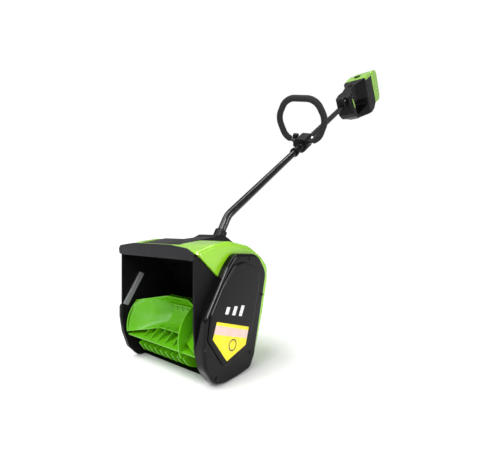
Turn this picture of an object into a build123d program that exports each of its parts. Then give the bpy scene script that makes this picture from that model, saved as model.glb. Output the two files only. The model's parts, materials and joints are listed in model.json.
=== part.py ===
"""Cordless snow shovel: a powered rotor head on a bent tube, with a loop handle and a battery rear handle.

Frame: millimetres, +Z up, +Y from the mouth of the head towards the user, +X towards the drive side.
The origin is on the ground, in the middle of the head, straight below the rotor's axis.
"""
from math import cos, radians, sin
import os

from build123d import *

# ---- driving dimensions -------------------------------------------------------------------------
PLATE_OUTER_X = 140.0         # half the width over the two side plates
PLATE_THICK = 4.0
PLATE_INNER_X = PLATE_OUTER_X - PLATE_THICK
WALL = 3.0                    # moulded wall thickness
SLIP = 0.05                   # radial clearance of a running fit

ROTOR_AXIS_Z = 91.0
ROTOR_R = 86.0
ROTOR_HALF = 131.0            # half the rotor's length
ROTOR_WEB_X = 78.0            # where the near web of the rotor stands
AXLE_R = 6.0
BEARING_R = 14.0

BELT_X = 154.0                # middle plane of the belt
BELT_WIDTH = 9.0
BELT_THICK = 2.5
DRIVEN_PULLEY_R = 42.0
MOTOR_PULLEY_R = 12.0
MOTOR_Y, MOTOR_Z = 97.0, 238.0
MOTOR_R = 27.0
MOTOR_LENGTH = 80.0
MOTOR_SHAFT_R = 4.0

TUBE_R = 12.7                 # one inch handle tube
TUBE_WALL = 1.5
SHAFT_SLOPE = 33.1            # degrees above level, upper run of the handle tube
SOCKET_START = (96.0, 263.5)  # lower end of the handle tube (y, z)
BEND = (174.3, 389.7)         # where the tube's two straight runs would meet
BEND_R = 75.0
COUPLER_AT = 478.0            # these distances run along the upper run, from BEND
COUPLER_LENGTH = 50.0
CLAMP_AT = 572.0
CLAMP_HALF = 36.0
HANDLE_AT = 1090.0            # where the tube meets the rear handle
TUBE_END = HANDLE_AT + 62.0
LOOP_LEAN = 15.0              # degrees the loop handle leans towards the drive side

HOUSING_HALF = 27.0           # half width of the rear handle at its waist
FRAME_HALF = 42.0             # half width of its front frame
BAY_HALF = 60.0               # half width round the battery bay
BATTERY_HALF = 46.0

RUN = Vector(0, cos(radians(SHAFT_SLOPE)), sin(radians(SHAFT_SLOPE)))      # along the upper run
UP = Vector(0, -sin(radians(SHAFT_SLOPE)), cos(radians(SHAFT_SLOPE)))      # square to it, upwards
BEND_POINT = Vector(0, *BEND)
X_AXIS = Vector(1, 0, 0)
SIDE = Plane.YZ               # sketch plane of the head: local x is Y, local y is Z, normal +X
HANDLE = Plane(origin=BEND_POINT + RUN * HANDLE_AT, x_dir=RUN, z_dir=X_AXIS)   # local x, y: along, up


# ---- helpers ------------------------------------------------------------------------------------
def outline_face(corners):
    """A closed face through (x, y, corner radius) triples."""
    points = [(x, y) for x, y, _ in corners]
    return make_face(FilletPolyline(*points, radius=[r for _, _, r in corners], close=True))


def slab(plane, corners, start, end):
    """The outline on the plane, extruded between two offsets along the plane's normal."""
    return extrude(plane.offset(start) * outline_face(corners), end - start)


def rod(center, direction, radius, start, end):
    """A solid cylinder along a direction, between two distances from the centre."""
    plane = Plane(origin=Vector(*center) + Vector(*direction) * start, z_dir=direction)
    return extrude(plane * Circle(radius), end - start)


def ring(center, direction, outer, inner, start, end):
    return rod(center, direction, outer, start, end) - rod(center, direction, inner, start - 1, end + 1)


def x_rod(y, z, radius, start, end):
    return rod((0, y, z), (1, 0, 0), radius, start, end)


def x_ring(y, z, outer, inner, start, end):
    return ring((0, y, z), (1, 0, 0), outer, inner, start, end)


def end_edges(solid, axis, index):
    """Edges of the solid's first (0) or last (-1) face along an axis."""
    return solid.faces().sort_by(axis)[index].edges()


def screw(center, direction, radius, length):
    """A pan-head screw with a cross recess; the shank goes in against the direction."""
    head = rod(center, direction, radius * 2, 0, radius * 1.2)
    slot = Plane(origin=Vector(*center) + Vector(*direction) * radius * 0.6, z_dir=direction)
    head -= extrude(slot * (Rectangle(radius * 2.2, radius * 0.5) + Rectangle(radius * 0.5, radius * 2.2)), 9)
    return head + rod(center, direction, radius, -length, 0)


def on_handle(along, up, x=0.0):
    """A point of the rear handle, from distances along and above the tube's axis."""
    return HANDLE.origin + RUN * along + UP * up + X_AXIS * x


# ---- head: plates, chute and covers -------------------------------------------------------------
PLATE_OUTLINE = [(-94, 292, 6), (-94, 128, 40), (-88, 74, 40), (-73, 32, 25), (-44, 0, 25), (40, 0, 25),
                 (86, 22, 30), (112, 60, 40), (140, 160, 60), (160, 236, 30), (118, 270, 30), (20, 293, 60)]
DRIVE_OUTLINE = [(-90, 96, 40), (-86, 52, 40), (-56, 8, 40), (-20, 0, 20), (20, 0, 30), (72, 4, 18),
                 (90, 34, 12), (142, 236, 36), (104, 286, 50), (16, 292, 34), (-14, 262, 40), (-82, 160, 40)]
DRIVE_PANEL = [(-80, 112, 16), (-30, 40, 20), (44, 56, 24), (68, 92, 40), (98, 190, 60), (106, 234, 26),
               (82, 257, 24), (42, 272, 24), (6, 266, 14), (-36, 220, 60), (-72, 166, 30)]
LEFT_OUTLINE = [(-95, 148, 10), (-95, 118, 30), (-88, 74, 40), (-73, 32, 25), (-44, 0, 25), (30, 0, 25),
                (70, 26, 25), (78, 90, 40), (40, 150, 40), (-30, 168, 30)]
CHUTE_PATH = [(41, 12), (94, 34), (95, 150), (56, 240), (-24, 284), (-93, 290)]
LIP_OUTLINE = [(-147, 297, 5), (-144, 284, 4), (-120, 283, 20), (120, 283, 20), (140, 281, 4), (140, 299, 4),
               (118, 309, 20), (60, 315, 60), (-80, 315, 60), (-142, 307, 8)]
COVER_OUTLINE = [(-90, 302, 12), (-40, 315, 60), (20, 321, 60), (95, 306, 60), (150, 274, 50), (178, 246, 24),
                 (178, 210, 24), (156, 124, 40), (104, -20, 12), (-90, -20, 12)]
COVER_OUTER_X = 146.0
COVER_BORE_X = PLATE_OUTER_X + 0.6
COVER_CUT = [(-130, 330, 1), (-92, 300, 1), (-10, 228, 1), (60, 60, 20), (98, 14, 10), (140, 14, 1),
             (140, -40, 1), (-130, -40, 1)]
SOCKET_OUTLINE = [(54, 308, 1), (66, 324, 12), (90, 333, 14), (114, 332, 12), (134, 322, 14), (154, 310, 12),
                  (168, 290, 12), (172, 258, 3), (160, 258, 2), (146, 272, 10), (90, 305, 10), (62, 310, 2)]
SOCKET_HALF = 38.0
WINDOW_X = (-116.0, 46.0)     # the opening in the lime roof, filled by the panel and the hump's nose
NOSE_X = -22.0                # where the panel ends and the nose begins
VENT_OUTLINE = [(-50, 299, 1), (-50, 311, 2), (30, 322, 30), (80, 316, 12), (90, 305, 2), (90, 299, 1)]
NOSE_OUTLINE = [(-50, 299, 1), (-50, 312, 2), (20, 323, 40), (70, 327, 6), (90, 312, 4), (90, 299, 1)]
LIP_SCREW_X = (-84.0, 84.0, 0.0)
DRIVE_DEPTH = 26.0            # how far the drive cover stands out from the plate
PANEL_DEPTH = 5.0


def side_plate(sign):
    """One cheek of the chute, with the hole for its bearing."""
    plate = slab(SIDE, PLATE_OUTLINE, PLATE_INNER_X, PLATE_OUTER_X)
    plate -= x_rod(0, ROTOR_AXIS_Z, BEARING_R, 0, PLATE_OUTER_X + 1)
    if sign < 0:
        return mirror(plate, Plane.YZ)
    plate -= x_rod(MOTOR_Y, MOTOR_Z, MOTOR_PULLEY_R - 3, 0, PLATE_OUTER_X + 1)
    return plate


def chute_shell():
    """The curved back wall and ceiling, one sheet between the two plates."""
    path = FilletPolyline(*CHUTE_PATH, radius=[30, 60, 60, 50])
    strip = make_face(offset(path, WALL, side=Side.RIGHT, closed=True))
    shell = extrude(SIDE.offset(-PLATE_INNER_X) * strip, 2 * PLATE_INNER_X)
    for x in LIP_SCREW_X:
        shell -= rod((x, -76, 296), (0, 0, 1), 1.6, -12, 12)
    return shell


def front_lip():
    """The arched band across the top of the mouth."""
    band = slab(Plane.XZ, LIP_OUTLINE, 94.0, 98.0)
    return fillet(end_edges(band, Axis.Y, 0), 1.5)


def guide_strip():
    """A straight raised strip on the inner face of the far plate."""
    strip = slab(SIDE, [(-92, 152, 2), (-80, 146, 2), (-30, 224, 2), (-42, 231, 2)], -PLATE_INNER_X,
                 -PLATE_INNER_X + 6)
    return fillet(end_edges(strip, Axis.X, -1), 0.8)


def scraper_bar():
    """The flat edge along the ground behind the rotor, under the chute's back wall."""
    outline = Polyline((-24, 0), (44, 0), (96, 24), (84, 24), (40, 8), (20, 3), (-24, 2), close=True)
    return extrude(SIDE.offset(-PLATE_INNER_X) * make_face(outline), 2 * PLATE_INNER_X)


def top_cover():
    """A thin lime shell over the top and rear, with a cheek outside each plate."""
    shell = slab(SIDE, COVER_OUTLINE, -COVER_OUTER_X, COVER_OUTER_X)
    shell = fillet(end_edges(shell, Axis.X, 0) + end_edges(shell, Axis.X, -1), 10)
    inner = offset(outline_face(COVER_OUTLINE), -WALL)
    bore = extrude(SIDE.offset(-COVER_BORE_X) * inner, 2 * COVER_BORE_X)
    shell -= fillet(end_edges(bore, Axis.X, 0) + end_edges(bore, Axis.X, -1), 5)
    shell -= slab(SIDE, COVER_CUT, -200, 200)
    shell -= slab(SIDE, DRIVE_OUTLINE, PLATE_OUTER_X, 200)
    window = [(WINDOW_X[0], -52, 4), (WINDOW_X[1], -52, 4), (WINDOW_X[1], 150, 4), (WINDOW_X[0], 150, 4)]
    shell -= slab(Plane.XY, window, 303, 345)
    tube_hole = [(-SOCKET_HALF + 4, 68, 4), (SOCKET_HALF - 4, 68, 4), (SOCKET_HALF - 4, 150, 4),
                 (-SOCKET_HALF + 4, 150, 4)]
    return shell - slab(Plane.XY, tube_hole, 255, 345)


def handle_socket():
    """The black hump on the cover's centre line, with the sleeve that the tube is pushed into."""
    hump = slab(SIDE, SOCKET_OUTLINE, -SOCKET_HALF, SOCKET_HALF)
    hump = fillet(end_edges(hump, Axis.X, 0) + end_edges(hump, Axis.X, -1), 1.5)
    low, high = Vector(0, *SOCKET_START), BEND_POINT
    lean = (high - low).normalized()
    hump -= slab(SIDE, COVER_OUTLINE, -SOCKET_HALF - 1, SOCKET_HALF + 1) & slab(
        SIDE, [(40, 200, 1), (200, 200, 1), (200, 330, 1), (40, 330, 1)], -60, 60)
    sleeve = rod(low, lean, TUBE_R + 6, -4, 93)
    sleeve = chamfer(end_edges(sleeve, Axis(low, lean), -1)[0], 2)
    nose = slab(SIDE, NOSE_OUTLINE, NOSE_X + 0.4, WINDOW_X[1] - 0.4)
    body = hump + fillet(end_edges(nose, Axis.X, 0) + end_edges(nose, Axis.X, -1), 2) + sleeve
    return body - rod(low, lean, TUBE_R + SLIP, 0, 140)


def vent_panel():
    """The raised smoky panel in the roof, beside the hump, with cooling slots behind its crest."""
    panel = slab(SIDE, VENT_OUTLINE, WINDOW_X[0] + 0.4, NOSE_X)
    panel = fillet(end_edges(panel, Axis.X, 0) + end_edges(panel, Axis.X, -1), 2)
    beside_hump = [(-SOCKET_HALF - 0.4, 53.6, 1), (0, 53.6, 1), (0, 110, 1), (-SOCKET_HALF - 0.4, 110, 1)]
    panel -= slab(Plane.XY, beside_hump, 290, 340)
    for step in range(4):
        panel -= Pos((WINDOW_X[0] + NOSE_X) / 2 - 8, 56 + 9 * step, 316) * Box(50, 3, 12)
    return panel


def drive_cover():
    """The deep cover over the belt, leaning back, with a raised centre panel and a stepped rim."""
    end = PLATE_OUTER_X + DRIVE_DEPTH
    cover = slab(SIDE, DRIVE_OUTLINE, PLATE_OUTER_X, end)
    cover = fillet(end_edges(cover, Axis.X, -1), 7)
    panel = slab(SIDE, DRIVE_PANEL, end - 2, end + PANEL_DEPTH)
    cover += fillet(end_edges(panel, Axis.X, -1), 3.5)
    inner = offset(outline_face(DRIVE_OUTLINE), -WALL)
    return cover - extrude(SIDE.offset(PLATE_OUTER_X - 1) * inner, DRIVE_DEPTH - WALL + 1)


def left_cover():
    """The shallow cover over the far bearing."""
    cover = slab(SIDE, LEFT_OUTLINE, -PLATE_OUTER_X - 12, -PLATE_OUTER_X)
    cover = fillet(end_edges(cover, Axis.X, 0), 5)
    cover -= x_rod(0, ROTOR_AXIS_Z, BEARING_R + 3, -PLATE_OUTER_X - 8, -PLATE_OUTER_X + 1)
    return cover - (slab(SIDE, COVER_OUTLINE, -COVER_OUTER_X - 0.4, 0) - slab(SIDE, COVER_CUT, -300, 1))


# ---- rotor and drive ----------------------------------------------------------------------------
ROTOR = Plane(origin=(0, 0, ROTOR_AXIS_Z), x_dir=(0, 1, 0), z_dir=(1, 0, 0))
SCOOP = [(-46, 6), (-4, 42), (-24, 79)]           # lip, depth and rim of the bucket, half way along
FLARE = [(-81, -13), (-77, 28), (-53, 63)]        # the same bucket where it curls forward at the ends
DRUM_RIB = [(-77, -36, 2), (-62, -58, 20), (-32, -72, 20), (8, -64, 2), (0, -14, 0.5), (-20, -8, 0.5)]
SCOOP_THICK = 3.5
SCOOP_HALF = 40.0             # the bucket keeps one section for this far each side of the middle
DRUM_HALF = 88.0
RIB_THICK = 2.5
HUB_R = 15.0


def sheet_section(points, x):
    """The closed section of a curved sheet, in a plane across the rotor's axis."""
    inner = ThreePointArc(*points)
    growth = 1 + SCOOP_THICK / inner.radius
    outer = ThreePointArc(*[inner.arc_center + (Vector(*point) - inner.arc_center) * growth for point in points])
    edges = inner + Line(inner @ 1, outer @ 1) + outer + Line(outer @ 0, inner @ 0)
    return ROTOR.offset(x) * make_face(edges)


def rib(corners, x, thickness=RIB_THICK):
    return slab(ROTOR, corners, x - thickness / 2, x + thickness / 2)


def sector(radius, first, last, x, thickness=RIB_THICK):
    """A thin disc sector between two angles, counted from the front upwards."""
    arc = [(-radius * cos(radians(a)), radius * sin(radians(a))) for a in (first, (first + last) / 2, last)]
    edges = Line((0, 0), arc[0]) + ThreePointArc(*arc) + Line(arc[2], (0, 0))
    return extrude(ROTOR.offset(x - thickness / 2) * make_face(edges), thickness)


def half_turn(solid):
    """The same solid, half a turn round the rotor's axis."""
    return Pos(0, 0, 2 * ROTOR_AXIS_Z) * Rot(X=180) * solid


def rotor_blade():
    """One blade: a bucket that curls forward at both ends, with a finned shelf and a ribbed drum below."""
    body = extrude(sheet_section(SCOOP, -SCOOP_HALF), 2 * SCOOP_HALF)
    for sign in (-1, 1):
        end = sheet_section(FLARE, sign * (ROTOR_HALF - 2))
        body += loft([sheet_section(SCOOP, sign * SCOOP_HALF), end], ruled=True)
        body += sector(83.5, -14, 54, sign * (ROTOR_HALF - 5), 3)
    body += sector(ROTOR_R, -25, 76, ROTOR_WEB_X, 3.5)
    shelf = [(-8, -2, 0.5), (-80, -20, 1), (-79, -24, 1), (-8, -7, 0.5)]
    body += slab(ROTOR, shelf, -ROTOR_HALF + 2, ROTOR_HALF - 2)
    for step in range(6):
        body += rib([(-47, 6, 0.5), (-78, -21, 0.5), (-12, -6, 0.5), (-6, 12, 0.5)], -70 + 28 * step)
    drum = x_ring(0, ROTOR_AXIS_Z, 62, 59, -DRUM_HALF, DRUM_HALF)
    body += drum & sector(100, -102, -26, 0, 2 * DRUM_HALF)
    for step in range(9):
        body += rib(DRUM_RIB, -84 + 21 * step)
    return body


def rotor():
    """The hub with its two blades, half a turn apart."""
    blade = rotor_blade()
    body = blade + half_turn(blade)
    body += x_rod(0, ROTOR_AXIS_Z, HUB_R, -ROTOR_HALF, ROTOR_HALF)
    return body - x_rod(0, ROTOR_AXIS_Z, AXLE_R, -200, 200)


def rotor_shaft():
    shaft = x_rod(0, ROTOR_AXIS_Z, AXLE_R, -PLATE_OUTER_X - 6, BELT_X + 8)
    return chamfer(end_edges(shaft, Axis.X, 0) + end_edges(shaft, Axis.X, -1), 1)


def bearing(sign):
    """A sealed ball bearing in its plate, drawn as one ring with a shield groove on each side."""
    start = sign * (PLATE_OUTER_X - 2) - 4.5
    body = x_ring(0, ROTOR_AXIS_Z, BEARING_R - 0.02, AXLE_R + SLIP, start, start + 9)
    for face_x in (start - 1, start + 8.2):
        body -= x_ring(0, ROTOR_AXIS_Z, 11.5, 8.5, face_x, face_x + 1.8)
    return body


def grooved_pulley(y, z, radius, bore, half, rims=True):
    body = x_ring(y, z, radius, bore, BELT_X - half, BELT_X + half)
    if rims:
        for sign in (-1, 1):
            middle = BELT_X + sign * (half + 1)
            body += x_ring(y, z, radius + 3.5, bore, middle - 1, middle + 1)
    return body


def driven_pulley():
    body = grooved_pulley(0, ROTOR_AXIS_Z, DRIVEN_PULLEY_R, AXLE_R, BELT_WIDTH / 2 + 0.5)
    for count in range(6):
        angle = radians(60 * count)
        body -= x_rod(26 * cos(angle), ROTOR_AXIS_Z + 26 * sin(angle), 8, BELT_X - 20, BELT_X + 20)
    return body


def belt_loop(radius_change):
    """The closed outline round both pulleys, as a hull of two discs."""
    big = Pos(0, ROTOR_AXIS_Z) * Circle(DRIVEN_PULLEY_R + radius_change)
    small = Pos(MOTOR_Y, MOTOR_Z) * Circle(MOTOR_PULLEY_R + radius_change)
    return make_hull(big.edges() + small.edges())


def drive_belt():
    face = belt_loop(BELT_THICK + SLIP) - belt_loop(SLIP)
    return extrude(SIDE.offset(BELT_X - BELT_WIDTH / 2) * face, BELT_WIDTH)


def motor_pulley():
    return grooved_pulley(MOTOR_Y, MOTOR_Z, MOTOR_PULLEY_R, MOTOR_SHAFT_R, BELT_WIDTH / 2 + 0.5)


MOTOR_FRONT = PLATE_INNER_X - 6


def motor_shaft():
    return x_rod(MOTOR_Y, MOTOR_Z, MOTOR_SHAFT_R, MOTOR_FRONT - 30, BELT_X + 8)


def motor_can():
    """The motor's drum, with its bearing nose, cooling slots and end boss."""
    can = x_rod(MOTOR_Y, MOTOR_Z, MOTOR_R, MOTOR_FRONT - MOTOR_LENGTH, MOTOR_FRONT)
    can = fillet(end_edges(can, Axis.X, 0), 3)
    can += x_rod(MOTOR_Y, MOTOR_Z, 8, MOTOR_FRONT - MOTOR_LENGTH - 5, MOTOR_FRONT - MOTOR_LENGTH + 1)
    for count in range(8):
        angle = radians(45 * count)
        slot = Pos(MOTOR_FRONT - 60, MOTOR_Y + 26 * cos(angle), MOTOR_Z + 26 * sin(angle))
        can -= slot * Rot(X=45 * count) * Box(24, 6, 4)
    return can - x_rod(MOTOR_Y, MOTOR_Z, MOTOR_SHAFT_R + SLIP, MOTOR_FRONT - 32, MOTOR_FRONT + 10)


def motor_bracket():
    """The plate that carries the motor against the side plate."""
    plate = x_rod(MOTOR_Y, MOTOR_Z, MOTOR_R + 2, MOTOR_FRONT, PLATE_INNER_X)
    return plate - x_rod(MOTOR_Y, MOTOR_Z, MOTOR_PULLEY_R - 3, 0, 200)


# ---- handle tube and its lead -------------------------------------------------------------------
LOWER_END = BEND_POINT + RUN * (COUPLER_AT + 20)


def tube_path(end):
    """The handle tube's centre line from the socket, round the bend, to a point on the upper run."""
    return FilletPolyline(Vector(0, *SOCKET_START), BEND_POINT, end, radius=BEND_R)


def swept_tube(path, outer, inner):
    section = Plane(origin=path @ 0, z_dir=path % 0)
    body = sweep(section * Circle(outer), path)
    return body - sweep(section * Circle(inner), path) if inner else body


def lower_tube():
    return swept_tube(tube_path(LOWER_END), TUBE_R, TUBE_R - TUBE_WALL)


def upper_tube():
    return ring(BEND_POINT, RUN, TUBE_R, TUBE_R - TUBE_WALL, COUPLER_AT + 20, TUBE_END)


def power_lead():
    """The flexible lead inside the tube, from the switch down to the motor."""
    return swept_tube(tube_path(BEND_POINT + RUN * (TUBE_END - 4)), 3.5, 0)


def coupler_sleeve():
    """The sleeve over the joint of the two tubes, with a raised band at its lower end."""
    start = COUPLER_AT
    sleeve = rod(BEND_POINT, RUN, TUBE_R + 3, start, start + COUPLER_LENGTH)
    sleeve += rod(BEND_POINT, RUN, TUBE_R + 5.5, start, start + 12)
    return sleeve - rod(BEND_POINT, RUN, TUBE_R + SLIP, start - 1, start + COUPLER_LENGTH + 1)


# ---- loop handle --------------------------------------------------------------------------------
LEAN_X = X_AXIS * cos(radians(LOOP_LEAN)) - UP * sin(radians(LOOP_LEAN))
LEAN_UP = UP * cos(radians(LOOP_LEAN)) + X_AXIS * sin(radians(LOOP_LEAN))
CLAMP_POINT = BEND_POINT + RUN * CLAMP_AT
LOOP_PLANE = Plane(origin=CLAMP_POINT - RUN * 14, x_dir=LEAN_X, z_dir=RUN * -1)   # local y leans up
LOOP_HALF_PATH = [(0, 190), (62, 190), (102, 112), (74, 34), (20, 12)]
LOOP_CORNER_R = [62, 70, 56]
LOOP_TUBE_R = 8.0
FOAM_R = 12.8
KNOB_R = 13.0
BOLT_R = 3.5
BOLT_POINT = CLAMP_POINT + RUN * 20 + LEAN_UP * 22
LINER_R = TUBE_R + 2.0


def loop_path():
    """The loop's closed-off line from one foot, over the top, to the other foot."""
    right = LOOP_HALF_PATH[1:]
    left = [(-x, y) for x, y in reversed(right)]
    radii = list(reversed(LOOP_CORNER_R)) + LOOP_CORNER_R
    return LOOP_PLANE * FilletPolyline(*left, *right, radius=radii)


def loop_tube():
    return swept_tube(loop_path(), LOOP_TUBE_R, LOOP_TUBE_R - 2)


def foam_grip():
    """The thick foam sleeve over the whole loop, bare only at the two feet."""
    path = loop_path()
    covered = path.trim(0.055, 0.945)
    return swept_tube(covered, FOAM_R, LOOP_TUBE_R + SLIP)


def clamp_liner():
    """The soft split sleeve between the tube and the clamp."""
    liner = ring(CLAMP_POINT, RUN, LINER_R, TUBE_R + SLIP, -CLAMP_HALF - 6, CLAMP_HALF + 6)
    return liner


CLAMP_PLANE = Plane(origin=CLAMP_POINT, x_dir=LEAN_X, z_dir=RUN * -1)


def clamp_half(top):
    """One half of the clamp round the liner: the upper one takes the loop's feet and the bolt."""
    if top:
        corners = [(-30, 0.6, 2), (30, 0.6, 2), (30, 22, 8), (18, 34, 8), (-18, 34, 8), (-30, 22, 8)]
    else:
        corners = [(-24, -0.6, 2), (-22, -16, 8), (-10, -24, 8), (10, -24, 8), (22, -16, 8), (24, -0.6, 2)]
    body = slab(CLAMP_PLANE, corners, -CLAMP_HALF, CLAMP_HALF)
    body -= rod(CLAMP_POINT, RUN, LINER_R + SLIP, -60, 60)
    if top:
        body -= rod(BOLT_POINT, LEAN_X, BOLT_R + SLIP, -80, 80)
        body -= sweep(Plane(origin=loop_path() @ 0, z_dir=loop_path() % 0) * Circle(LOOP_TUBE_R + SLIP),
                      loop_path())
    return body


def clamp_bolt():
    """The cross bolt, with its hexagonal head on the drive side."""
    body = rod(BOLT_POINT, LEAN_X, BOLT_R, -46, 30)
    head = Plane(origin=BOLT_POINT + LEAN_X * 30, z_dir=LEAN_X)
    return body + extrude(head * RegularPolygon(7.5, 6), 6)


def clamp_knob():
    """The lobed knob on the far end of the bolt."""
    knob = rod(BOLT_POINT, LEAN_X, KNOB_R, -52, -34)
    for count in range(6):
        angle = radians(60 * count)
        spot = BOLT_POINT + RUN * (16.5 * cos(angle)) + LEAN_UP * (16.5 * sin(angle))
        knob -= rod(spot, LEAN_X, 5, -60, -38)
    knob += rod(BOLT_POINT, LEAN_X, 8, -35, -30.4)
    return knob - rod(BOLT_POINT, LEAN_X, BOLT_R + SLIP, -46.2, -20)


# ---- rear handle --------------------------------------------------------------------------------
HOUSING_OUTLINE = [(14, 38, 8), (50, 46, 20), (125, 61, 40), (310, 77, 60), (372, 77, 16), (392, 50, 16),
                   (384, -100, 20), (334, -126, 30), (285, -132, 40), (130, -112, 40), (50, -78, 16),
                   (24, -52, 12), (14, -16, 6)]
# half widths seen from above: the ends run past the outline, which cuts them off square
HOUSING_PLAN = [(-20, 20, 1), (30, FRAME_HALF, 14), (68, FRAME_HALF, 14), (100, HOUSING_HALF, 30),
                (154, HOUSING_HALF, 40), (240, BAY_HALF, 40), (430, BAY_HALF, 1)]
HAND_OPENING = [(82, -22, 10), (88, -76, 12), (150, -92, 20), (236, -66, 14), (228, -30, 10), (150, -16, 20)]
BATTERY_OUTLINE = [(290, 44, 4), (420, 44, 4), (420, -70, 4), (290, -70, 4)]
CAP_OUTLINE = [(395, 48, 10), (410, 72, 14), (478, 66, 16), (496, 36, 20), (490, -92, 20), (464, -112, 20),
               (402, -108, 14), (390, -80, 6)]
CAP_HALF = 57.0
BATTERY_CUT = [(284, 44.5, 2), (540, 44.5, 2), (540, -70.5, 2), (284, -70.5, 2)]
TRIGGER_OUTLINE = [(101, -13, 2), (146, -13, 2), (140, -38, 6), (124, -34, 12), (108, -40, 5)]
TRIGGER_PIVOT = (105, -17)
SPRING_SEAT = (136, -12.45)
ACCENT = [(38, 16, 3), (48, 18, 3), (60, -30, 3), (51, -34, 3)]
# screws that hold the halves together: along, up, and how far out the face is
SCREW_SPOTS = [(48, 30, FRAME_HALF), (120, 43, HOUSING_HALF), (118, -96, HOUSING_HALF), (264, 24, BAY_HALF),
               (264, -44, BAY_HALF)]


def handle_form(inset):
    """The rear handle's form: the side outline crossed with the plan outline, both drawn in by the inset."""
    side = offset(outline_face(HOUSING_OUTLINE), -inset) if inset else outline_face(HOUSING_OUTLINE)
    far_side = [(along, -x, r) for along, x, r in reversed(HOUSING_PLAN)]
    plan = outline_face(HOUSING_PLAN + far_side)
    plan = offset(plan, -inset) if inset else plan
    from_above = Plane(origin=HANDLE.origin - UP * 200, x_dir=RUN, z_dir=UP)
    return extrude(HANDLE.offset(-80) * side, 160) & extrude(from_above * plan, 400)


def rounded_form():
    body = handle_form(0)
    walls = [face for face in body.faces() if abs(face.normal_at().X) > 0.05]
    wall_edges = [edge for face in walls for edge in face.edges()]
    rims = [edge for edge in wall_edges if sum(edge.is_same(other) for other in wall_edges) == 1]
    return fillet(rims, 8)


def housing_hollow():
    """The room inside the moulding: its form drawn in, less the walls, bosses and ribs that stay."""
    room = handle_form(WALL)
    room -= extrude(HANDLE.offset(-80) * offset(outline_face(HAND_OPENING), WALL), 160)
    room -= extrude(HANDLE.offset(-BATTERY_HALF - WALL) * offset(outline_face(BATTERY_CUT), WALL),
                    2 * BATTERY_HALF + 2 * WALL)
    room -= rod(HANDLE.origin, RUN, TUBE_R + 4, 0, 66)
    room -= rod(on_handle(*TRIGGER_PIVOT), X_AXIS, 4, -40, -10) + rod(on_handle(*TRIGGER_PIVOT), X_AXIS, 4, 10, 40)
    for along, up, face_x in SCREW_SPOTS:
        room -= rod(on_handle(along, up), X_AXIS, 6.5, -face_x - 5, face_x + 5)
    for along in BOARD_RIBS:
        room -= slab(HANDLE, [(along, -40, 1), (along + 3, -40, 1), (along + 3, -2.1, 1), (along, -2.1, 1)], -40, 40)
    for along in BAY_RIBS:
        room -= slab(HANDLE, [(along, -145, 1), (along + 3, -145, 1), (along + 3, 90, 1), (along, 90, 1)], -80, 80)
    for start, end in ((-40, -9.2), (9.2, 40)):
        room -= slab(HANDLE, [(112, -30, 1), (146, -30, 1), (146, -1.1, 1), (112, -1.1, 1)], start, end)
    return room


def housing_solid():
    """The whole moulding before it is split: the rounded form less the hollow and every opening."""
    body = rounded_form() - housing_hollow()
    body -= slab(HANDLE, HAND_OPENING, -90, 90)
    body -= slab(HANDLE, BATTERY_CUT, -BATTERY_HALF - 0.6, BATTERY_HALF + 0.6)
    body -= slab(HANDLE, TRIGGER_SLOT, -9, 9)
    body -= slab(HANDLE, LOCK_SLOT, -8.4, 8.4)
    body -= slab(HANDLE, LATCH_CUT, -15.4, 15.4)
    body -= slab(HANDLE, TERMINAL_CUT, -18.2, 18.2)
    body -= rod(on_handle(*TRIGGER_PIVOT), X_AXIS, 1.52, -14.2, 14.2)
    body -= rod(BEND_POINT, RUN, TUBE_R + SLIP, HANDLE_AT - 20, TUBE_END + 0.2)
    return body - slab(HANDLE, ACCENT, -80, -FRAME_HALF + 1.5) - slab(HANDLE, ACCENT, FRAME_HALF - 1.5, 80)


BOARD_RIBS = (190, 221)        # carry the control board
BAY_RIBS = (288, 340)          # tie the battery's liner to the outer wall
TRIGGER_SLOT = [(98, -10, 1), (148, -10, 1), (148, -24, 1), (98, -24, 1)]
LOCK_SLOT = [(150, 20, 1), (182, 20, 1), (182, 90, 1), (150, 90, 1)]
TERMINAL_CUT = [(240, 12.2, 1), (287, 12.2, 1), (287, -12.2, 1), (240, -12.2, 1)]
LATCH_CUT = [(294, 40, 1), (326, 40, 1), (326, 100, 1), (294, 100, 1)]
REAR_COVER_CUT = [(252, 57, 2), (252, 110, 2), (430, 110, 2), (430, -150, 2), (380, -150, 2), (362, 57, 2)]


def housing_half(sign, solid):
    """One moulded half of the rear handle, split on the centre plane; the near one has the screw bores."""
    region = slab(HANDLE, [(-20, 110, 1), (440, 110, 1), (440, -150, 1), (-20, -150, 1)], 0.1, 80)
    half = (solid & region) - slab(HANDLE, REAR_COVER_CUT, -80, 80)
    if sign < 0:
        return mirror(half, Plane.YZ)
    for along, up, face_x in SCREW_SPOTS:
        half -= rod(on_handle(along, up), X_AXIS, 2.0, face_x - 18, face_x)
        half -= rod(on_handle(along, up), X_AXIS, 4.4, face_x - 4, 80)
    return half


def rear_cover(solid):
    """The lime shell over the top and back of the battery bay."""
    return solid & slab(HANDLE, [(along + 0.2, up + 0.2, r) for along, up, r in REAR_COVER_CUT], -80, 80)


def accent_inserts():
    """The two lime inserts in the flanks of the front."""
    piece = slab(HANDLE, ACCENT, FRAME_HALF - 1.5, FRAME_HALF + 0.6)
    return Compound([piece, mirror(piece, Plane.YZ)])


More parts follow.
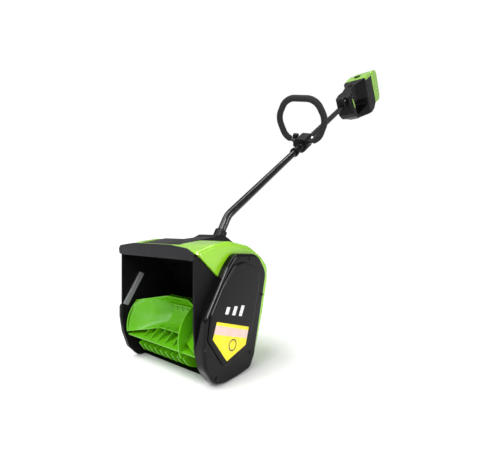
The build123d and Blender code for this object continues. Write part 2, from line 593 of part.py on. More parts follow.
def front_collar():
    """The clamp ring where the tube enters the rear handle, with its pinch boss."""
    collar = rod(HANDLE.origin, RUN, TUBE_R + 7, -26, 13.6)
    block = slab(HANDLE, [(-26, 4, 1), (-26, 34, 8), (-16, 46, 10), (13.6, 46, 3), (13.6, 4, 1)], -20, 20)
    collar += fillet(end_edges(block, Axis.X, 0) + end_edges(block, Axis.X, -1), 4)
    collar -= rod(HANDLE.origin, RUN, TUBE_R + SLIP, -40, 40)
    collar -= slab(HANDLE, [(-30, 8, 1), (20, 8, 1), (20, 60, 1), (-30, 60, 1)], -1, 1)
    return collar - rod(on_handle(*COLLAR_SCREW), X_AXIS, 2.0, -30, 30)


COLLAR_SCREW = (-6, 28)


def trigger():
    body = slab(HANDLE, TRIGGER_OUTLINE, -8.6, 8.6)
    body = body - rod(on_handle(*TRIGGER_PIVOT), X_AXIS, 1.5 + SLIP, -20, 20)
    return body


def trigger_pin():
    return rod(on_handle(*TRIGGER_PIVOT), X_AXIS, 1.5, -14, 14)


def coil(center, direction, radius, wire, height, turns):
    """A compression spring standing on the centre point."""
    base = Plane(origin=center, z_dir=direction)
    path = Helix(pitch=height / turns, height=height, radius=radius)
    section = Plane(origin=path @ 0, z_dir=path % 0)
    return base * sweep(section * Circle(wire), path, is_frenet=True)


def trigger_spring():
    return coil(on_handle(*SPRING_SEAT), UP, 3.2, 0.5, 10.8, 5)


def lock_button():
    """The lock-off button on top of the grip."""
    body = slab(HANDLE, [(152, 40, 1), (180, 40, 1), (180, 71, 3), (152, 69, 3)], -8, 8)
    return body + slab(HANDLE, [(158, 26, 1), (174, 26, 1), (174, 42, 1), (158, 42, 1)], -5, 5)


def lock_spring():
    return coil(on_handle(166, 19), UP, 3.2, 0.5, 6.0, 4)


def switch_body():
    body = slab(HANDLE, [(110, -1, 1), (150, -1, 1), (150, 17, 1), (110, 17, 1)], -8, 8)
    body += slab(HANDLE, [(148, 10, 1), (176, 10, 1), (176, 18.4, 1), (148, 18.4, 1)], -6, 6)
    return body + slab(HANDLE, [(120, -5, 1), (126, -5, 1), (126, 0, 1), (120, 0, 1)], -3, 3)


def control_board():
    board = slab(HANDLE, [(186, -2, 1), (228, -2, 1), (228, 0, 1), (186, 0, 1)], -20, 20)
    for along, up, half in ((196, 8, 6), (208, 6, 10), (220, 10, 5)):
        board += slab(HANDLE, [(along - 4, 0, 0.5), (along + 4, 0, 0.5), (along + 4, up, 0.5),
                               (along - 4, up, 0.5)], -half, half)
    return board


def terminal_block():
    """The fixed contacts at the bottom of the battery bay."""
    block = slab(HANDLE, [(259, 12, 1), (281.6, 12, 1), (281.6, -12, 1), (259, -12, 1)], -18, 18)
    for x in CONTACT_X:
        block += slab(HANDLE, [(280, 8, 0.2), (298, 8, 0.2), (298, -8, 0.2), (280, -8, 0.2)], x - 0.6, x + 0.6)
    return block


CONTACT_X = (-12, 0, 12)
LATCH_POCKET = [(288, 38, 0.5), (318, 38, 0.5), (318, 50, 0.5), (288, 50, 0.5)]
PACK_CAVITY = [(309, 33, 2), (486, 33, 2), (484, -62, 2), (309, -62, 2)]


def battery_pack():
    """The slide-in battery's case: a box with contact slots in front and a grooved cap at the back."""
    body = slab(HANDLE, BATTERY_OUTLINE, -BATTERY_HALF, BATTERY_HALF)
    cap = slab(HANDLE, CAP_OUTLINE, -CAP_HALF, CAP_HALF)
    body += fillet(end_edges(cap, Axis.X, 0) + end_edges(cap, Axis.X, -1), 8)
    for up in (-44, -34, -24, -14):
        groove = [(490, up, 1), (510, up, 1), (510, up + 4, 1), (490, up + 4, 1)]
        body -= slab(HANDLE, groove, -34, 34)
    for x in CONTACT_X:
        body -= slab(HANDLE, [(281, 9, 0.5), (302, 9, 0.5), (302, -9, 0.5), (281, -9, 0.5)], x - 1.4, x + 1.4)
    body -= slab(HANDLE, LATCH_POCKET, -15.4, 15.4)
    room = extrude(HANDLE.offset(-CAP_HALF + WALL) * offset(outline_face(CAP_OUTLINE), -2 * WALL),
                   2 * (CAP_HALF - WALL))
    return body - slab(HANDLE, PACK_CAVITY, -42, 42) - room


def battery_cells():
    """Twenty round cells, two layers of two rows."""
    cells = []
    for column in range(5):
        for up in (-27, 3):
            for start in (-38, 1):
                center = on_handle(330 + 26 * column, up)
                cells.append(rod(center, X_AXIS, 10.5, start, start + 37))
    return Compound(cells)


def battery_latch():
    """The release button on top of the bay, whose hook drops into the battery."""
    cap = slab(HANDLE, [(295, 60, 2), (325, 60, 2), (324, 82, 5), (298, 82, 5)], -14.6, 14.6)
    return cap + slab(HANDLE, [(298, 42, 0.5), (316, 42, 0.5), (316, 62, 0.5), (298, 62, 0.5)], -11, 11)


# ---- graphics and screws ------------------------------------------------------------------------
FACE_X = PLATE_OUTER_X + DRIVE_DEPTH + PANEL_DEPTH
STICKER = [(-56, 149, 2), (57, 111, 2), (44, 71, 2), (-24, 53, 2), (-69, 114, 2)]


def side_sticker():
    """A blank five-sided sticker on the raised panel."""
    return slab(SIDE, STICKER, FACE_X, FACE_X + 0.4)


def side_marks():
    """Three plain slanted bars above the sticker."""
    bars = []
    for step in range(3):
        y, z = -30 + 24 * step, 160 - 7 * step
        tall = 15 + 4 * step
        corners = [(y, z, 1), (y + 11, z - 3, 1), (y + 11 + tall / 2, z - 3 + tall, 1), (y + tall / 2, z + tall, 1)]
        bars.append(slab(SIDE, corners, FACE_X, FACE_X + 0.4))
    return Compound(bars)


def lip_screws():
    return Compound([screw((x, -76, 297), (0, 0, 1), 1.55, 8) for x in LIP_SCREW_X])


def cover_screws():
    """Screws of the drive cover, in the rim outside the raised panel."""
    spots = [(-86, 96), (-50, 22), (70, 44), (118, 180), (70, 276)]
    return Compound([screw((PLATE_OUTER_X + DRIVE_DEPTH, y, z), (1, 0, 0), 2.0, 2.5) for y, z in spots])


def left_cover_screws():
    spots = [(-72, 110), (-50, 36), (46, 60), (20, 130)]
    return Compound([screw((-PLATE_OUTER_X - 12, y, z), (-1, 0, 0), 2.0, 8) for y, z in spots])


def motor_screws():
    spots = [(MOTOR_Y - 20, MOTOR_Z), (MOTOR_Y + 20, MOTOR_Z)]
    return Compound([screw((PLATE_OUTER_X, y, z), (1, 0, 0), 2.0, 8) for y, z in spots])


def housing_screws():
    screws = []
    for along, up, face_x in SCREW_SPOTS:
        screws.append(screw(on_handle(along, up, face_x - 4), X_AXIS, 1.95, 13))
    return Compound(screws)


def collar_screw():
    return screw(on_handle(*COLLAR_SCREW, 20), X_AXIS, 1.95, 36)


# ---- write the pieces ---------------------------------------------------------------------------
def build_nodes():
    housing = housing_solid()
    left_cap = left_cover()
    left_bolts = left_cover_screws()
    nodes = {
        "left_side_plate": side_plate(-1),
        "right_side_plate": side_plate(1) - motor_screws(),
        "chute_shell": chute_shell(),
        "front_lip": front_lip(),
        "guide_strip": guide_strip(),
        "scraper_bar": scraper_bar(),
        "top_cover": top_cover(),
        "handle_socket": handle_socket(),
        "vent_panel": vent_panel(),
        "drive_cover": drive_cover() - cover_screws(),
        "left_cover": left_cap - left_bolts,
        "side_sticker": side_sticker(),
        "side_marks": side_marks(),
        "lip_screws": lip_screws(),
        "cover_screws": cover_screws(),
        "left_cover_screws": left_bolts,
        "rotor": rotor(),
        "rotor_shaft": rotor_shaft(),
        "bearing_left": bearing(-1),
        "bearing_right": bearing(1),
        "driven_pulley": driven_pulley(),
        "drive_belt": drive_belt(),
        "motor_pulley": motor_pulley(),
        "motor_shaft": motor_shaft(),
        "motor_can": motor_can(),
        "motor_bracket": motor_bracket() - motor_screws(),
        "motor_screws": motor_screws(),
        "lower_tube": lower_tube(),
        "upper_tube": upper_tube(),
        "power_lead": power_lead(),
        "coupler_sleeve": coupler_sleeve(),
        "loop_tube": loop_tube(),
        "foam_grip": foam_grip(),
        "clamp_liner": clamp_liner(),
        "clamp_upper": clamp_half(True),
        "clamp_lower": clamp_half(False),
        "clamp_bolt": clamp_bolt(),
        "clamp_knob": clamp_knob(),
        "housing_left": housing_half(-1, housing),
        "housing_right": housing_half(1, housing),
        "rear_cover": rear_cover(housing),
        "accent_inserts": accent_inserts(),
        "front_collar": front_collar() - collar_screw(),
        "collar_screw": collar_screw(),
        "housing_screws": housing_screws(),
        "trigger": trigger(),
        "trigger_pin": trigger_pin(),
        "trigger_spring": trigger_spring(),
        "lock_button": lock_button(),
        "lock_spring": lock_spring(),
        "switch_body": switch_body(),
        "control_board": control_board(),
        "terminal_block": terminal_block(),
        "battery_pack": battery_pack(),
        "battery_cells": battery_cells(),
        "battery_latch": battery_latch(),
    }
    return nodes


os.makedirs("parts", exist_ok=True)
for name, solid in build_nodes().items():
    export_step(solid, f"parts/{name}.step")
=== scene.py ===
"""Looks of the cordless snow shovel: materials for every piece, the foam sleeve, floor, light and camera.

Metres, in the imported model's frame: +Z up, +Y from the mouth towards the user, +X towards the drive cover.
"""
import json
from math import cos, pi, radians, sin, tan

import bmesh
import bpy
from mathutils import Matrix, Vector, noise

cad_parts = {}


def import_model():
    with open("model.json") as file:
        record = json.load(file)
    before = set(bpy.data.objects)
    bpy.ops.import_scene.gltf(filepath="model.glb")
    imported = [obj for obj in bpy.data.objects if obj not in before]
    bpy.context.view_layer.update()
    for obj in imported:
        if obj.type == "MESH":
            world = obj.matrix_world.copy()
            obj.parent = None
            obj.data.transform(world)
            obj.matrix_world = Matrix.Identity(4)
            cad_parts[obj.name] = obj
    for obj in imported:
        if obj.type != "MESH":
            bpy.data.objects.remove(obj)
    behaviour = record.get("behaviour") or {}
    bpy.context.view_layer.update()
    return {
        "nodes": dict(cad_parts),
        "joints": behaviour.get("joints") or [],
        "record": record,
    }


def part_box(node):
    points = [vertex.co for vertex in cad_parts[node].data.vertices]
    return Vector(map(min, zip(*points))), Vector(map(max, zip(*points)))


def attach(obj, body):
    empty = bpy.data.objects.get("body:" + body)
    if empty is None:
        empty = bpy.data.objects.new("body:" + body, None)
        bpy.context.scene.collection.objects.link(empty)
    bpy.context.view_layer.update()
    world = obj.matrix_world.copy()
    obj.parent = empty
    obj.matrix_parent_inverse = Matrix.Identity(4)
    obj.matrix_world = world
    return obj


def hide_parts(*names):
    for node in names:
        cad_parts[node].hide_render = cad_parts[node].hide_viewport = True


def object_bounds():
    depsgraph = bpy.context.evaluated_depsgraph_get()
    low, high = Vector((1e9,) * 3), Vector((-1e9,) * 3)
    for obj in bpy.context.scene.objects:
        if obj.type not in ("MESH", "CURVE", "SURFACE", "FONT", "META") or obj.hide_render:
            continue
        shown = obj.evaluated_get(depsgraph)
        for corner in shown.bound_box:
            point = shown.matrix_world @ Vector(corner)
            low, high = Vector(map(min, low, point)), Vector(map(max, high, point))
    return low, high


# ---- driving values -----------------------------------------------------------------------------
CAMERA_AT = (0.6615, -0.5773, 0.3582)
CAMERA_LOOKS = (-0.6088, 0.7934, 0.002)
CAMERA_LENS = 23.6
SENSOR_WIDTH = 36.0

FOAM_R = 0.0126
FOAM_BORE = 0.0083
FOAM_HALF_PATH = [(0.062, 0.190, 0.062), (0.102, 0.112, 0.070), (0.074, 0.034, 0.056), (0.020, 0.012, 0.0)]
FOAM_BARE_END = 0.055         # share of the path left bare at each foot
FOAM_SIDES = 40
FOAM_STEP = 0.0025            # from one ring of the sleeve to the next
FOAM_END_EASE = (0.72, 0.90, 0.97, 1.0)  # shares of the radius, from a cut end inwards
LOOP_BEHIND_CLAMP = 0.014

STICKER_SLOPE = 0.34          # fall of the sticker's upper edge towards the user
STICKER_SETBACK = 0.012       # from the sticker's front edge to where that slope is measured
BAND_TOP = 0.007              # the pale band's edges, below the sticker's upper edge
BAND_BOTTOM = 0.027
RING_Y_Z = (-0.004, 0.084)
RING_OUTER = 0.01375
RING_INNER = 0.01075
PRINT_EDGE = 0.0005           # half the width over which the band's colour changes
RING_EDGE = 0.00025

FLOOR_HALF_SIZE = 40.0
FLOOR_GAP = 0.0005            # keeps the floor clear of the part's underside

BACKDROP_STRENGTH = 1.0       # the white that the camera sees behind the floor
WORLD_STRENGTH = 0.42         # the light that the same sky gives
SUN_STRENGTH = 2.9            # brings the floor up to the backdrop's white, so that no horizon shows
SUN_TOWARDS = (0.25, 0.45, -1.0)
SUN_SPREAD_DEG = 50

# place, target, width and height, and power of each lamp
CARDS = {
    "front_card": ((0.85, -0.90, 1.12), (0.16, -0.05, 0.21), (0.5, 1.2), 55),
    "tube_card": ((0.0, 0.55, 2.1), (0, 0.3, 0.5), (0.30, 1.3), 12),
    "side_card": ((1.9, 0.9, 0.9), (0.15, 0.1, 0.2), (0.5, 1.2), 25),
}
LAMPS = {
    "mouth_fill": ((-0.5, -1.6, 0.9), (0, 0, 0.15), (0.9, 0.9), 9),
    "side_fill": ((1.9, -1.0, 1.3), (0.1, 0, 0.2), (1.2, 1.2), 26),
}

LIME = (0.270, 0.600, 0.008)
LIME_DEEP = (0.085, 0.330, 0.002)
BLACK = (0.0050, 0.0045, 0.0055)
CHARCOAL = (0.012, 0.011, 0.013)
YELLOW = (0.920, 0.760, 0.002)


# ---- small node helpers -------------------------------------------------------------------------
class Nodes:
    """A material's node tree with short ways to add and join nodes."""

    def __init__(self, name):
        self.material = bpy.data.materials.new(name)
        self.material.use_nodes = True
        self.tree = self.material.node_tree
        self.shader = self.tree.nodes["Principled BSDF"]
        self.coords = self.add("ShaderNodeTexCoord").outputs["Object"]

    def add(self, kind, **values):
        node = self.tree.nodes.new(kind)
        for key, value in values.items():
            setattr(node, key, value)
        return node

    def link(self, source, target):
        self.tree.links.new(source, target)

    def set(self, **values):
        """Constant values straight on the shader's own sockets."""
        for key, value in values.items():
            self.shader.inputs[key.replace("_", " ")].default_value = value

    def noise(self, scale, detail=4.0, roughness=0.5, stretch=(1, 1, 1)):
        mapping = self.add("ShaderNodeMapping")
        mapping.inputs["Scale"].default_value = stretch
        self.link(self.coords, mapping.inputs["Vector"])
        node = self.add("ShaderNodeTexNoise")
        node.inputs["Scale"].default_value = scale
        node.inputs["Detail"].default_value = detail
        node.inputs["Roughness"].default_value = roughness
        self.link(mapping.outputs["Vector"], node.inputs["Vector"])
        return node.outputs["Fac"]

    def cells(self, scale):
        node = self.add("ShaderNodeTexVoronoi")
        node.inputs["Scale"].default_value = scale
        self.link(self.coords, node.inputs["Vector"])
        return node.outputs["Distance"]

    def ranged(self, value, low_in, high_in, low, high):
        node = self.add("ShaderNodeMapRange")
        for socket, number in zip(("From Min", "From Max", "To Min", "To Max"), (low_in, high_in, low, high)):
            node.inputs[socket].default_value = number
        self.link(value, node.inputs["Value"])
        return node.outputs["Result"]

    def mixed(self, factor, first, second):
        """A colour between two colours or colour sockets."""
        node = self.add("ShaderNodeMix", data_type="RGBA")
        self.link(factor, node.inputs["Factor"])
        for name, colour in (("A", first), ("B", second)):
            socket = [s for s in node.inputs if s.name == name and s.type == "RGBA"][0]
            if isinstance(colour, tuple):
                socket.default_value = (*colour, 1.0)
            else:
                self.link(colour, socket)
        return [s for s in node.outputs if s.type == "RGBA"][0]

    def edges(self, radius, low=0.02, high=0.25):
        """0 on flat surfaces, rising to 1 on rounded-over edges narrower than the radius."""
        bevel = self.add("ShaderNodeBevel", samples=4)
        bevel.inputs["Radius"].default_value = radius
        normal = self.add("ShaderNodeNewGeometry").outputs["Normal"]
        dot = self.add("ShaderNodeVectorMath", operation="DOT_PRODUCT")
        self.link(bevel.outputs["Normal"], dot.inputs[0])
        self.link(normal, dot.inputs[1])
        return self.ranged(dot.outputs["Value"], 1.0 - low, 1.0 - high, 0.0, 1.0)

    def bump(self, height, distance, strength=1.0):
        node = self.add("ShaderNodeBump")
        node.inputs["Distance"].default_value = distance
        node.inputs["Strength"].default_value = strength
        self.link(height, node.inputs["Height"])
        self.link(node.outputs["Normal"], self.shader.inputs["Normal"])

    def colour(self, socket):
        self.link(socket, self.shader.inputs["Base Color"])

    def roughness(self, socket):
        self.link(socket, self.shader.inputs["Roughness"])


def scaled(colour, factor):
    """The colour made lighter or darker, with no channel over 1."""
    return tuple(min(1.0, channel * factor) for channel in colour)


# ---- materials ----------------------------------------------------------------------------------
def moulded(name, colour, rough, grain, worn, coat=0.0, variation=0.12, rub=0.5, gloss=0.5):
    """Moulded plastic: cloudy colour, uneven gloss, a fine grain and slightly rubbed edges."""
    n = Nodes(name)
    clouds = n.noise(9.0, 5.0)
    cloudy = n.ranged(clouds, 0.3, 0.7, 0.0, 1.0)
    tone = n.mixed(cloudy, scaled(colour, 1 - variation), scaled(colour, 1 + variation))
    scuffs = n.ranged(n.noise(160.0, 6.0, 0.65), 0.52, 0.72, 0.0, rub)
    edge = n.add("ShaderNodeMath", operation="MULTIPLY")
    n.link(n.edges(0.0012), edge.inputs[0])
    n.link(scuffs, edge.inputs[1])
    n.colour(n.mixed(edge.outputs[0], tone, worn))
    n.roughness(n.ranged(n.noise(45.0, 6.0, 0.6), 0.3, 0.7, rough[0], rough[1]))
    n.bump(n.noise(1400.0, 3.0), grain)
    n.set(Coat_Weight=coat, Coat_Roughness=0.06, IOR=1.5, Specular_IOR_Level=gloss)
    return n.material


def metal(name, colour, rough, stretch, depth):
    """Drawn or turned metal: fine streaks along one direction."""
    n = Nodes(name)
    streaks = n.noise(260.0, 6.0, 0.6, stretch)
    n.colour(n.mixed(streaks, scaled(colour, 0.8), scaled(colour, 1.1)))
    n.roughness(n.ranged(streaks, 0.25, 0.75, rough[0], rough[1]))
    n.bump(streaks, depth)
    n.set(Metallic=1.0)
    return n.material


def coated_tube():
    """Glossy powder coat on steel tube, with a faint orange peel."""
    n = Nodes("tube_coat")
    n.colour(n.mixed(n.noise(20.0, 4.0), scaled(BLACK, 0.7), scaled(BLACK, 1.3)))
    n.roughness(n.ranged(n.noise(70.0, 5.0), 0.3, 0.7, 0.13, 0.26))
    n.bump(n.noise(420.0, 2.0), 0.00008)
    n.set(IOR=1.52, Specular_IOR_Level=0.3)
    return n.material


def foam():
    """Closed-cell foam: dull, pitted, with a soft sheen."""
    n = Nodes("foam_skin")
    pits = n.ranged(n.cells(900.0), 0.0, 0.6, 0.0, 1.0)
    patches = n.noise(60.0, 6.0, 0.7)
    n.colour(n.mixed(patches, (0.008, 0.0075, 0.0085), (0.022, 0.021, 0.023)))
    n.roughness(n.ranged(patches, 0.3, 0.7, 0.62, 0.86))
    n.bump(pits, 0.0003, 0.6)
    n.set(Sheen_Weight=0.04, Sheen_Roughness=0.5, Specular_IOR_Level=0.12)
    return n.material


def rubber():
    n = Nodes("belt_rubber_dark")
    wear = n.noise(120.0, 6.0, 0.6)
    n.colour(n.mixed(wear, (0.010, 0.010, 0.010), (0.035, 0.034, 0.034)))
    n.roughness(n.ranged(wear, 0.3, 0.7, 0.6, 0.9))
    n.bump(n.noise(700.0, 3.0), 0.0002)
    return n.material


def label():
    """A blank yellow film with a pale band across its upper part and a dark plain ring."""
    n = Nodes("sticker_film")
    low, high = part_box("side_sticker")
    place = n.add("ShaderNodeSeparateXYZ")
    n.link(n.coords, place.inputs[0])
    yellow = n.mixed(n.noise(30.0, 4.0), scaled(YELLOW, 0.93), scaled(YELLOW, 1.05))
    # the sticker's upper edge falls towards the user, so its band follows that slope
    slope = n.add("ShaderNodeMath", operation="MULTIPLY_ADD")
    n.link(place.outputs["Y"], slope.inputs[0])
    slope.inputs[1].default_value = STICKER_SLOPE
    n.link(place.outputs["Z"], slope.inputs[2])
    top = high.z + STICKER_SLOPE * (low.y + STICKER_SETBACK)
    lower, upper = top - BAND_BOTTOM, top - BAND_TOP
    band = n.ranged(slope.outputs[0], lower - PRINT_EDGE, lower + PRINT_EDGE, 0.0, 1.0)
    edge = n.ranged(slope.outputs[0], upper - PRINT_EDGE, upper + PRINT_EDGE, 1.0, 0.0)
    both = n.add("ShaderNodeMath", operation="MULTIPLY")
    n.link(band, both.inputs[0])
    n.link(edge, both.inputs[1])
    banded = n.mixed(both.outputs[0], yellow, (0.78, 0.56, 0.50))
    centre = Vector((high.x, *RING_Y_Z))
    apart = n.add("ShaderNodeVectorMath", operation="DISTANCE")
    n.link(n.coords, apart.inputs[0])
    apart.inputs[1].default_value = centre
    outer = n.ranged(apart.outputs["Value"], RING_OUTER - RING_EDGE, RING_OUTER + RING_EDGE, 1.0, 0.0)
    inner = n.ranged(apart.outputs["Value"], RING_INNER - RING_EDGE, RING_INNER + RING_EDGE, 0.0, 1.0)
    ring = n.add("ShaderNodeMath", operation="MULTIPLY")
    n.link(outer, ring.inputs[0])
    n.link(inner, ring.inputs[1])
    n.colour(n.mixed(ring.outputs[0], banded, (0.03, 0.02, 0.01)))
    n.roughness(n.ranged(n.noise(50.0, 4.0), 0.3, 0.7, 0.18, 0.32))
    n.bump(n.noise(500.0, 2.0), 0.00003)
    return n.material


def printed():
    n = Nodes("pale_print")
    n.colour(n.mixed(n.noise(300.0, 6.0, 0.7), (0.62, 0.62, 0.63), (0.85, 0.85, 0.86)))
    n.roughness(n.ranged(n.noise(90.0, 4.0), 0.3, 0.7, 0.3, 0.5))
    n.bump(n.noise(900.0, 2.0), 0.00003)
    return n.material


def board():
    n = Nodes("solder_mask")
    n.colour(n.mixed(n.ranged(n.cells(260.0), 0.0, 0.4, 0.0, 1.0), (0.02, 0.20, 0.07), (0.01, 0.08, 0.03)))
    n.roughness(n.ranged(n.noise(80.0, 4.0), 0.3, 0.7, 0.25, 0.45))
    n.bump(n.cells(260.0), 0.0002)
    return n.material


def cell_wrap():
    n = Nodes("cell_wrap_blue")
    n.colour(n.mixed(n.noise(40.0, 5.0), (0.02, 0.12, 0.35), (0.04, 0.22, 0.50)))
    n.roughness(n.ranged(n.noise(90.0, 4.0), 0.3, 0.7, 0.22, 0.4))
    n.bump(n.noise(300.0, 4.0), 0.0001)
    return n.material


def make_materials():
    """One procedural material for each of the record's material slots."""
    return {
        "black_plastic": moulded("black_moulding", BLACK, (0.28, 0.46), 0.00009,
                                 (0.03, 0.029, 0.03), gloss=0.10),
        "black_gloss": moulded("black_gloss_moulding", scaled(BLACK, 0.6), (0.07, 0.14), 0.00001,
                               (0.02, 0.02, 0.02), rub=0.25, gloss=0.16),
        "charcoal_plastic": moulded("charcoal_moulding", CHARCOAL, (0.34, 0.48), 0.00008, (0.07, 0.07, 0.07),
                                    gloss=0.15),
        "grey_plastic": moulded("grey_moulding", (0.20, 0.20, 0.21), (0.35, 0.5), 0.00008, (0.3, 0.3, 0.3),
                                gloss=0.3),
        "black_screw": metal("black_oxide", (0.03, 0.03, 0.032), (0.35, 0.55), (6, 1, 1), 0.00004),
        "lime_gloss": moulded("lime_gloss_moulding", LIME, (0.16, 0.28), 0.00001, (0.45, 0.75, 0.12),
                              coat=0.5, variation=0.04, rub=0.35),
        "lime_moulded": moulded("lime_moulding", LIME_DEEP, (0.24, 0.38), 0.00005, (0.26, 0.58, 0.06),
                                variation=0.10, rub=0.6, gloss=0.3),
        "yellow_label": label(),
        "white_mark": printed(),
        "steel": metal("zinc_steel", (0.55, 0.56, 0.58), (0.25, 0.45), (1, 1, 6), 0.00004),
        "spring_steel": metal("bright_wire", (0.62, 0.62, 0.64), (0.18, 0.32), (1, 1, 3), 0.00002),
        "motor_metal": metal("motor_drum", (0.22, 0.22, 0.24), (0.35, 0.55), (6, 1, 1), 0.00005),
        "pulley_aluminium": metal("turned_aluminium", (0.70, 0.70, 0.72), (0.22, 0.40), (6, 1, 1), 0.00004),
        "belt_rubber": rubber(),
        "black_tube": coated_tube(),
        "foam": foam(),
        "switch_plastic": moulded("switch_moulding", scaled(CHARCOAL, 0.7), (0.35, 0.5), 0.00006,
                                  (0.12, 0.12, 0.12)),
        "board_green": board(),
        "cell_wrap": cell_wrap(),
    }


def dress(frame, materials):
    """Puts each slot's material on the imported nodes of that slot."""
    for part in frame["record"]["subparts"]:
        node = frame["nodes"][part["node"]]
        material = materials[part["material_slot"]]
        if not node.material_slots:
            node.data.materials.append(material)
        for held in node.material_slots:
            held.material = material


# ---- the foam sleeve on the loop ----------------------------------------------------------------
def rounded_path(corners, step=0.004):
    """Points along an open path of (x, y, corner radius) triples with its corners rounded off."""
    points = [Vector((x, y)) for x, y, _ in corners]
    line = [points[0]]
    for before, corner, after, (_, _, radius) in zip(points, points[1:], points[2:], corners[1:-1]):
        inward = (before - corner).normalized()
        outward = (after - corner).normalized()
        half = inward.angle(outward) / 2
        reach = radius / tan(half)
        centre = corner + (inward + outward).normalized() * (radius / sin(half))
        start = corner + inward * reach - centre
        end = corner + outward * reach - centre
        turn = start.angle_signed(end)
        count = max(3, int(abs(turn) * radius / step))
        for index in range(count + 1):
            angle = -turn * index / count
            line.append(centre + Vector((start.x * cos(angle) - start.y * sin(angle),
                                         start.x * sin(angle) + start.y * cos(angle))))
    line.append(points[-1])
    return line


def evenly(line, step):
    """The same line as evenly spaced points, about a step apart."""
    lengths = [0.0]
    for first, second in zip(line, line[1:]):
        lengths.append(lengths[-1] + (second - first).length)
    total = lengths[-1]
    count = int(total / step)
    points = []
    index = 0
    for number in range(count + 1):
        at = total * number / count
        while index < len(line) - 2 and lengths[index + 1] < at:
            index += 1
        share = (at - lengths[index]) / (lengths[index + 1] - lengths[index])
        points.append(line[index].lerp(line[index + 1], share))
    return points


def foam_sleeve(frame, material):
    """Foam over the loop tube: a little uneven and rounded at its cut ends."""
    joints = {joint["name"]: joint for joint in frame["joints"]}
    run = Vector(joints["loop_turn"]["axis"]).normalized()
    across = Vector(joints["knob_turn"]["axis"]).normalized()
    up = across.cross(run)
    origin = Vector(joints["loop_turn"]["pos_m"]) - run * LOOP_BEHIND_CLAMP
    mirrored = [(-x, y, r) for x, y, r in reversed(FOAM_HALF_PATH)]
    flat = evenly(rounded_path(mirrored + FOAM_HALF_PATH), FOAM_STEP)
    bare = int(len(flat) * FOAM_BARE_END)
    flat = flat[bare:len(flat) - bare]
    path = [origin + across * point.x + up * point.y for point in flat]
    mesh = bmesh.new()
    rings = []
    last = len(path) - 1
    for index, centre in enumerate(path):
        ahead = (path[min(index + 1, last)] - path[max(index - 1, 0)]).normalized()
        side = ahead.cross(run)
        from_end = min(index, last - index)
        ease = FOAM_END_EASE[min(from_end, len(FOAM_END_EASE) - 1)]
        ring = []
        for count in range(FOAM_SIDES):
            angle = 2 * pi * count / FOAM_SIDES
            outward = side * cos(angle) + run * sin(angle)
            spot = centre + outward * FOAM_R
            uneven = 1.0 + 0.012 * noise.noise(spot * 70.0) + 0.006 * noise.noise(spot * 260.0)
            ring.append(mesh.verts.new(centre + outward * FOAM_R * ease * uneven))
        rings.append(ring)
    for end, inner_index in ((rings[0], 0), (rings[-1], last)):
        centre = path[inner_index]
        lip = []
        for vertex in end:
            direction = (vertex.co - centre).normalized()
            lip.append(mesh.verts.new(centre + direction * FOAM_BORE))
        if inner_index:
            rings.append(lip)
        else:
            rings.insert(0, lip)
    for first, second in zip(rings, rings[1:]):
        for count in range(FOAM_SIDES):
            after = (count + 1) % FOAM_SIDES
            mesh.faces.new((first[count], first[after], second[after], second[count]))
    bmesh.ops.recalc_face_normals(mesh, faces=mesh.faces)
    data = bpy.data.meshes.new("foam_sleeve")
    mesh.to_mesh(data)
    mesh.free()
    for polygon in data.polygons:
        polygon.use_smooth = True
    data.materials.append(material)
    sleeve = bpy.data.objects.new("foam_sleeve", data)
    bpy.context.scene.collection.objects.link(sleeve)
    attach(sleeve, "loop_handle")
    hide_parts("foam_grip")


# ---- floor, light and camera --------------------------------------------------------------------
def floor():
    """A pale floor that runs far past the view. It is part of the stage, not of the object."""
    n = Nodes("studio_floor")
    n.colour(n.mixed(n.noise(1.5, 3.0), (0.93, 0.93, 0.93), (0.95, 0.95, 0.95)))
    n.set(Roughness=0.9, Specular_IOR_Level=0.0)
    mesh = bmesh.new()
    bmesh.ops.create_grid(mesh, x_segments=8, y_segments=8, size=FLOOR_HALF_SIZE)
    data = bpy.data.meshes.new("studio_floor")
    mesh.to_mesh(data)
    mesh.free()
    data.materials.append(n.material)
    sheet = bpy.data.objects.new("studio_floor", data)
    bpy.context.scene.collection.objects.link(sheet)
    sheet.location.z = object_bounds()[0][2] - FLOOR_GAP


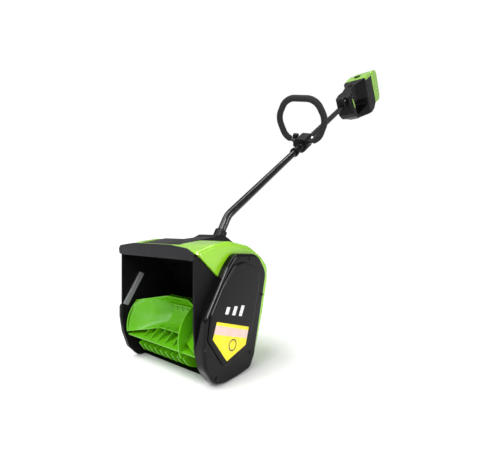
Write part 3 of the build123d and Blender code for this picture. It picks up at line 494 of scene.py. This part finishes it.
def lamp(name, place, target, size, power):
    data = bpy.data.lights.new(name, "AREA")
    data.shape = "RECTANGLE"
    data.size, data.size_y = size
    data.energy = power
    thing = bpy.data.objects.new(name, data)
    bpy.context.scene.collection.objects.link(thing)
    thing.location = place
    thing.rotation_euler = (Vector(target) - Vector(place)).to_track_quat("-Z", "Y").to_euler()
    return thing


def card(name, place, target, size, power):
    """A lamp that is only seen in reflections: it draws the long highlights on gloss."""
    lamp(name, place, target, size, power).visible_diffuse = False


def lights():
    world = bpy.data.worlds.new("studio")
    world.use_nodes = True
    background = world.node_tree.nodes["Background"]
    background.inputs["Color"].default_value = (1.0, 1.0, 1.0, 1.0)
    seen = world.node_tree.nodes.new("ShaderNodeLightPath").outputs["Is Camera Ray"]
    strength = world.node_tree.nodes.new("ShaderNodeMapRange")
    strength.inputs["To Min"].default_value = WORLD_STRENGTH
    strength.inputs["To Max"].default_value = BACKDROP_STRENGTH
    world.node_tree.links.new(seen, strength.inputs["Value"])
    world.node_tree.links.new(strength.outputs["Result"], background.inputs["Strength"])
    bpy.context.scene.world = world
    sun = bpy.data.lights.new("sky_key", "SUN")
    sun.energy = SUN_STRENGTH
    sun.angle = radians(SUN_SPREAD_DEG)
    high = bpy.data.objects.new("sky_key", sun)
    bpy.context.scene.collection.objects.link(high)
    high.rotation_euler = Vector(SUN_TOWARDS).to_track_quat("-Z", "Y").to_euler()
    for name, settings in CARDS.items():
        card(name, *settings)
    for name, settings in LAMPS.items():
        lamp(name, *settings)


def camera():
    data = bpy.data.cameras.new("view")
    data.lens = CAMERA_LENS
    data.sensor_width = SENSOR_WIDTH
    data.clip_end = 200
    thing = bpy.data.objects.new("view", data)
    bpy.context.scene.collection.objects.link(thing)
    thing.location = CAMERA_AT
    thing.rotation_euler = Vector(CAMERA_LOOKS).to_track_quat("-Z", "Y").to_euler()
    bpy.context.scene.camera = thing


def main():
    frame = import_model()
    bpy.context.scene.view_settings.view_transform = "Standard"
    camera()
    materials = make_materials()
    dress(frame, materials)
    foam_sleeve(frame, materials["foam"])
    floor()
    lights()


main()
